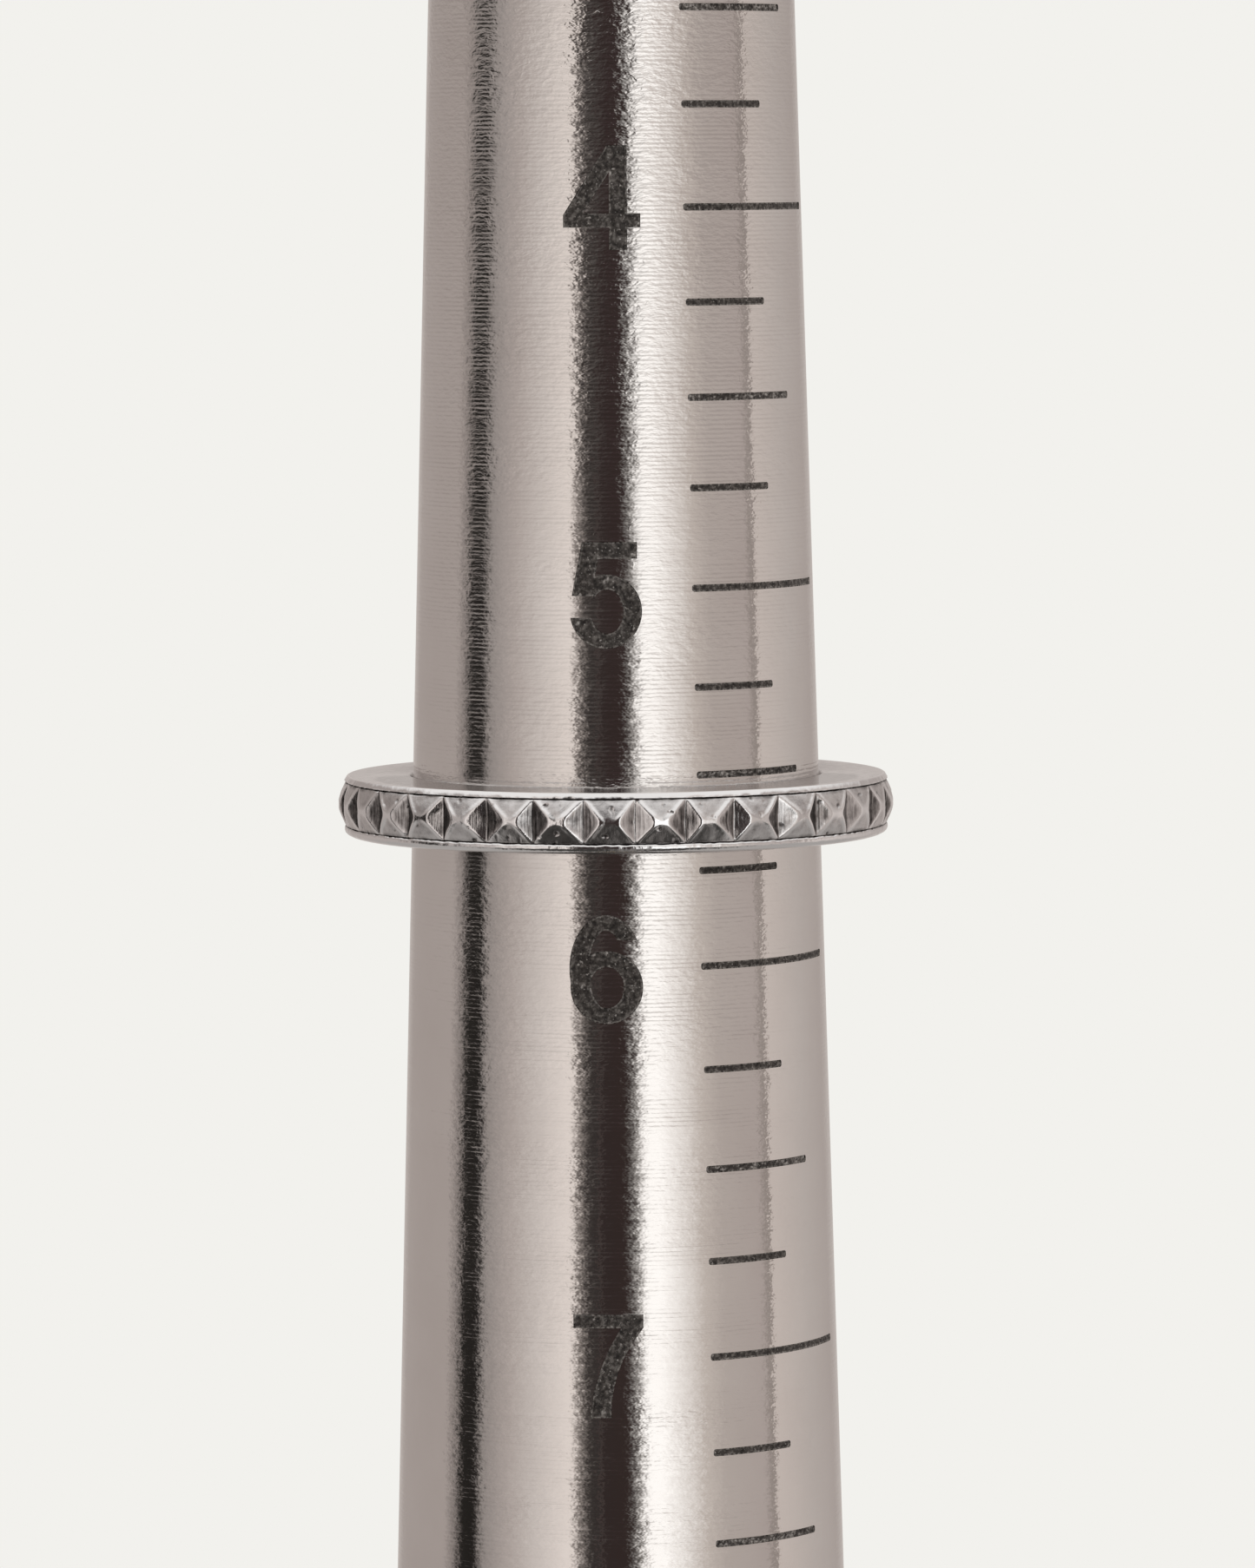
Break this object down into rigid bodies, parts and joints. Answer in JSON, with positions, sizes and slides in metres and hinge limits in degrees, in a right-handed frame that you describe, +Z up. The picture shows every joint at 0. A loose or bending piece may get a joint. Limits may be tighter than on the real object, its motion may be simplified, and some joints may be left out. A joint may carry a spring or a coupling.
{
  "type": "ring mandrel",
  "caption": "Tapered steel ring-sizing stick with an engraved size scale, in a turned wooden handle with a ferrule, and a studded band ring seated on it.",
  "frame": {"origin": "centre of the flat butt that the mandrel stands on", "axes": "+Z up the mandrel's axis towards the narrow end; the size scale faces -Y; +X is to the right of the scale"},
  "size_m": [0.0352, 0.0352, 0.337],
  "materials": {
    "blade_steel": "bright turned steel with fine lathe lines",
    "engraving": "dark, rough, heat-blackened engraving",
    "ferrule_brass": "satin turned brass",
    "pin_steel": "filed flush",
    "handle_wood": "oiled hardwood, turned",
    "ring_silver": "worn polished silver, dark in the recesses"
  },
  "bodies": {
    "mandrel": {"blade": "blade_steel", "size_numerals": "engraving", "whole_size_lines": "engraving", "half_size_lines": "engraving", "quarter_size_lines": "engraving", "ferrule": "ferrule_brass", "tang_pin": "pin_steel", "handle": "handle_wood"},
    "ring": {"ring": "ring_silver"}
  },
  "joints": [
    {"name": "ring_slide", "type": "slide", "parent": "mandrel", "child": "ring", "axis": [0, 0, 1], "range_m": [0, 0.09]}
  ]
}
